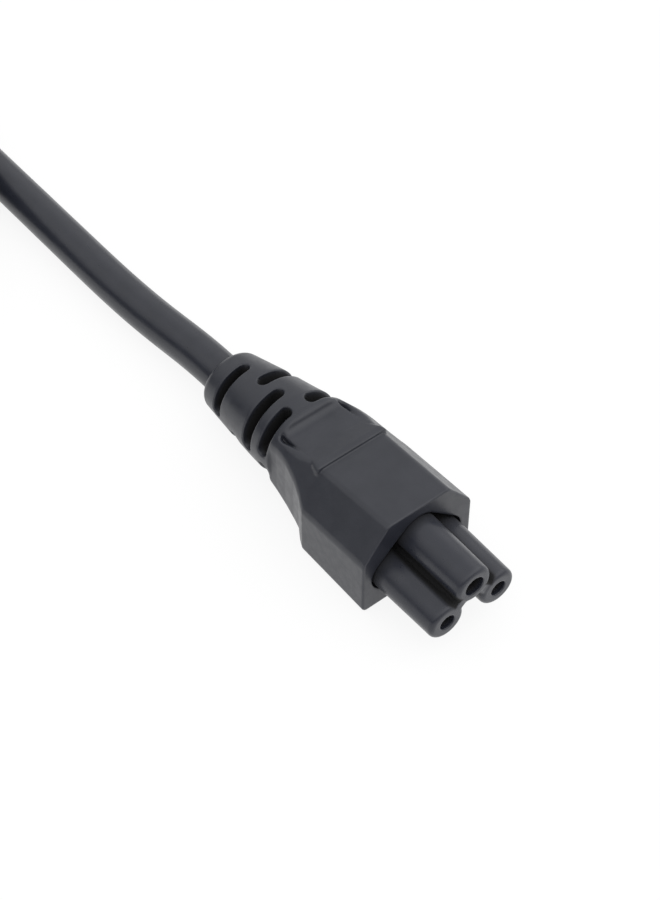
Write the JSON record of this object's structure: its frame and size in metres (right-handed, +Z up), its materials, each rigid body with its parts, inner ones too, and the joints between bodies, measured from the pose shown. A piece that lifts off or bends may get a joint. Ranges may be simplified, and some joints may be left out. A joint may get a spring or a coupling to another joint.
{
  "type": "cloverleaf power cord",
  "caption": "Moulded appliance power cord: cloverleaf connector nose with round sockets, slotted strain relief, coiled round cord and a round earthed wall plug.",
  "frame": {"origin": "centre of the connector's footprint box, on the surface it lies on", "axes": "+X along the connector toward the nose tip, +Y across it, +Z up; the cord leaves toward -X"},
  "size_m": [0.1732, 0.0896, 0.0377],
  "materials": {
    "black_soft_moulding": "matt flexible moulding",
    "black_hard_insert": "satin",
    "black_cord_sheath": "satin sheath",
    "dark_grey_plug_face": "matt",
    "tinned_contact": "tinned",
    "nickel_pin": "nickel plated"
  },
  "bodies": {
    "root": {"housing": "black_soft_moulding", "nose_insert": "black_hard_insert", "contact_earth": "tinned_contact", "contact_left": "tinned_contact", "contact_right": "tinned_contact", "cord_run": "black_cord_sheath", "cord_coil": "black_cord_sheath", "cord_tail": "black_cord_sheath", "plug_body": "black_soft_moulding", "plug_face": "dark_grey_plug_face", "plug_pin_left": "nickel_pin", "plug_pin_right": "nickel_pin", "plug_clip_top": "tinned_contact", "plug_clip_bottom": "tinned_contact"}
  },
  "joints": []
}
